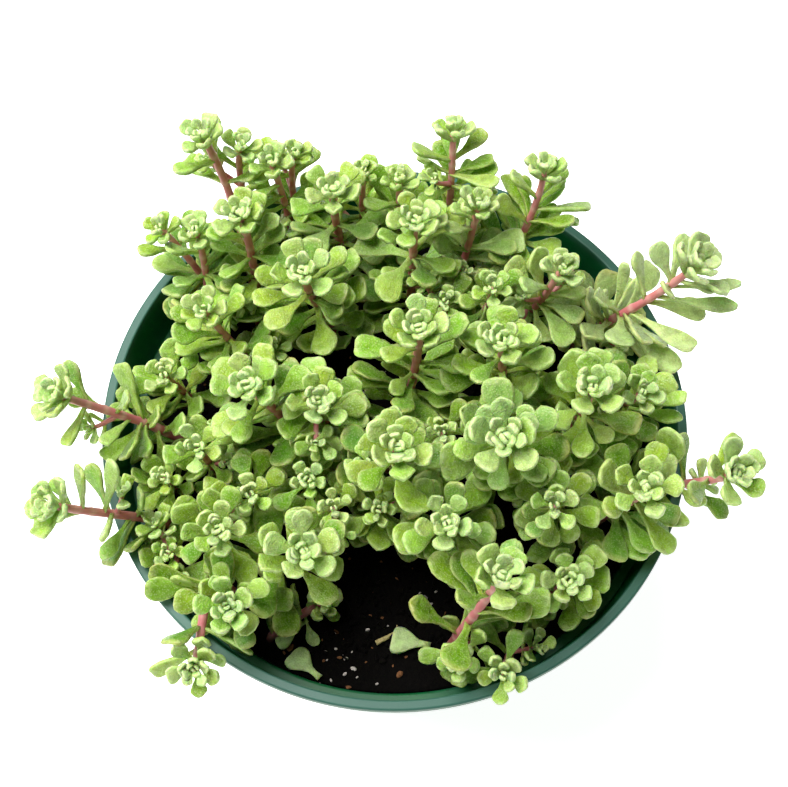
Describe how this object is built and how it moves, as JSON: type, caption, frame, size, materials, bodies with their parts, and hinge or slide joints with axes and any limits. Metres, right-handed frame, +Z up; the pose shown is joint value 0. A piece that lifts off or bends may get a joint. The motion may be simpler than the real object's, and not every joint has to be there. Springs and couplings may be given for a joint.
{
  "type": "potted sedum",
  "caption": "Sedum plant of leafy red stems with rosettes of spoon-shaped leaves, growing from potting mix in a round tapered plastic nursery pot.",
  "frame": {"origin": "centre of the pot's flat base, on the surface that it stands on", "axes": "+Z up along the pot's axis, -Y towards the viewer of the picture, +X to the viewer's right"},
  "size_m": [0.1804, 0.152, 0.1565],
  "materials": {
    "pot_plastic": "satin moulded plastic",
    "potting_mix": "loose and rough",
    "foliage": "fleshy leaf, finely textured"
  },
  "bodies": {
    "root": {"dropped_leaf_1": "foliage", "dropped_leaf_2": "foliage", "pot": "pot_plastic", "shoot_back_1": "foliage", "shoot_back_10": "foliage", "shoot_back_11": "foliage", "shoot_back_2": "foliage", "shoot_back_3": "foliage", "shoot_back_4": "foliage", "shoot_back_5": "foliage", "shoot_back_6": "foliage", "shoot_back_7": "foliage", "shoot_back_8": "foliage", "shoot_back_9": "foliage", "shoot_front_1": "foliage", "shoot_front_2": "foliage", "shoot_front_3": "foliage", "shoot_front_4": "foliage", "shoot_front_5": "foliage", "shoot_front_6": "foliage", "shoot_front_7": "foliage", "shoot_front_8": "foliage", "shoot_left_1": "foliage", "shoot_left_2": "foliage", "shoot_left_3": "foliage", "shoot_left_4": "foliage", "shoot_left_5": "foliage", "shoot_left_6": "foliage", "shoot_left_7": "foliage", "shoot_middle_1": "foliage", "shoot_middle_2": "foliage", "shoot_middle_3": "foliage", "shoot_middle_4": "foliage", "shoot_middle_5": "foliage", "shoot_middle_6": "foliage", "shoot_middle_7": "foliage", "shoot_right_1": "foliage", "shoot_right_2": "foliage", "shoot_right_3": "foliage", "shoot_right_4": "foliage", "shoot_right_5": "foliage", "shoot_right_6": "foliage", "soil": "potting_mix", "sprig_1": "foliage", "sprig_10": "foliage", "sprig_11": "foliage", "sprig_12": "foliage", "sprig_13": "foliage", "sprig_2": "foliage", "sprig_3": "foliage", "sprig_4": "foliage", "sprig_5": "foliage", "sprig_6": "foliage", "sprig_7": "foliage", "sprig_8": "foliage", "sprig_9": "foliage"}
  },
  "joints": []
}
